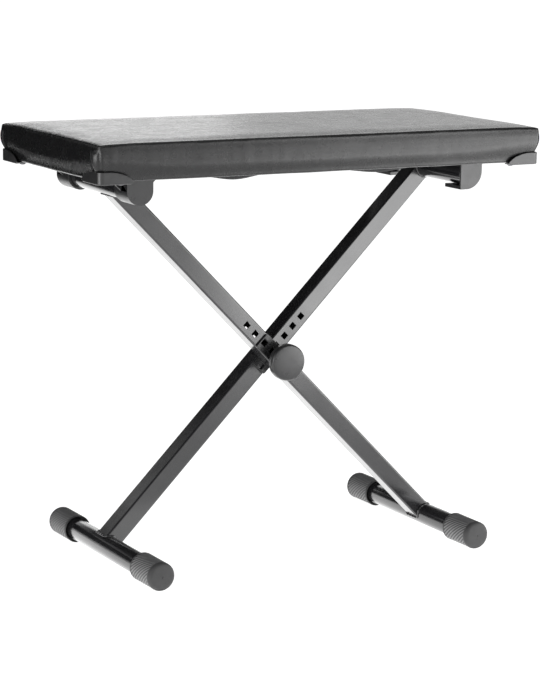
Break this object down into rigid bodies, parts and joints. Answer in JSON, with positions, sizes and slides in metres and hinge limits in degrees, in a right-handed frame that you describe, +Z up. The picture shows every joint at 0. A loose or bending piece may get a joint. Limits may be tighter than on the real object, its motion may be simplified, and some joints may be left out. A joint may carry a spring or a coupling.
{
  "type": "piano bench",
  "caption": "Folding X-frame piano bench with a flat padded leatherette seat, round rubber foot caps and a hand knob at the crossing.",
  "frame": {"origin": "on the floor, under the middle of the bench", "axes": "+X along the seat to the sitter's right as seen from the knob side, -Y towards the knob side, +Z up"},
  "size_m": [0.6536, 0.333, 0.582],
  "materials": {
    "frame_paint": "glossy black powder coat",
    "cap_rubber": "matte, fine diagonal knurl",
    "black_plastic": "satin moulded",
    "bolt_steel": "zinc plated",
    "screw_steel": "black zinc",
    "insert_brass": "turned",
    "board_wood": "raw plywood",
    "foam": "open-cell foam",
    "seat_leatherette": "satin black leatherette, fine grain",
    "lining_fabric": "non-woven dust cloth"
  },
  "bodies": {
    "front_leg": {"front_arm": "frame_paint", "left_crossbar": "frame_paint", "right_foot_tube": "frame_paint", "front_right_foot_cap": "cap_rubber", "rear_right_foot_cap": "cap_rubber", "clamp_plate": "black_plastic"},
    "rear_leg": {"rear_arm": "frame_paint", "right_crossbar": "frame_paint", "left_foot_tube": "frame_paint", "front_left_foot_cap": "cap_rubber", "rear_left_foot_cap": "cap_rubber", "arm_spacer": "black_plastic", "pivot_bolt": "bolt_steel"},
    "seat": {"seat_board": "board_wood", "seat_foam": "foam", "seat_cover": "seat_leatherette", "seat_lining": "lining_fabric", "front_bearing_bracket": "black_plastic", "rear_bearing_bracket": "black_plastic", "front_hook_bracket": "black_plastic", "rear_hook_bracket": "black_plastic", "front_left_corner_protector": "black_plastic", "front_right_corner_protector": "black_plastic", "rear_left_corner_protector": "black_plastic", "rear_right_corner_protector": "black_plastic", "bearing_screw_1": "screw_steel", "bearing_screw_2": "screw_steel", "bearing_screw_3": "screw_steel", "bearing_screw_4": "screw_steel", "bearing_screw_5": "screw_steel", "bearing_screw_6": "screw_steel", "bearing_screw_7": "screw_steel", "bearing_screw_8": "screw_steel", "hook_screw_1": "screw_steel", "hook_screw_2": "screw_steel", "hook_screw_3": "screw_steel", "hook_screw_4": "screw_steel", "protector_screw_1": "screw_steel", "protector_screw_2": "screw_steel", "protector_screw_3": "screw_steel", "protector_screw_4": "screw_steel", "protector_screw_5": "screw_steel", "protector_screw_6": "screw_steel", "protector_screw_7": "screw_steel", "protector_screw_8": "screw_steel"},
    "washer": {"knob_washer": "bolt_steel"},
    "knob": {"knob": "black_plastic", "knob_insert": "insert_brass"}
  },
  "joints": [
    {"name": "leg_fold", "type": "hinge", "parent": "front_leg", "child": "rear_leg", "pos_m": [0, 0, 0.2628], "axis": [0, -1, 0], "range_deg": [0, 80]},
    {"name": "seat_tilt", "type": "hinge", "parent": "front_leg", "child": "seat", "pos_m": [-0.24772, 0, 0.514], "axis": [0, -1, 0], "range_deg": [0, 40]},
    {"name": "washer_slide", "type": "slide", "parent": "rear_leg", "child": "washer", "axis": [0, -1, 0], "range_m": [0, 0.00501]},
    {"name": "knob_turn", "type": "hinge", "parent": "washer", "child": "knob", "pos_m": [0, 0, 0.2628], "axis": [0, -1, 0], "range_deg": [0, 1440]}
  ],
  "couplings": [
    {"joint": "seat_tilt", "follows": "leg_fold", "ratio": 0.5},
    {"joint": "washer_slide", "follows": "knob_turn", "m_per_rad": 0.0001989}
  ]
}
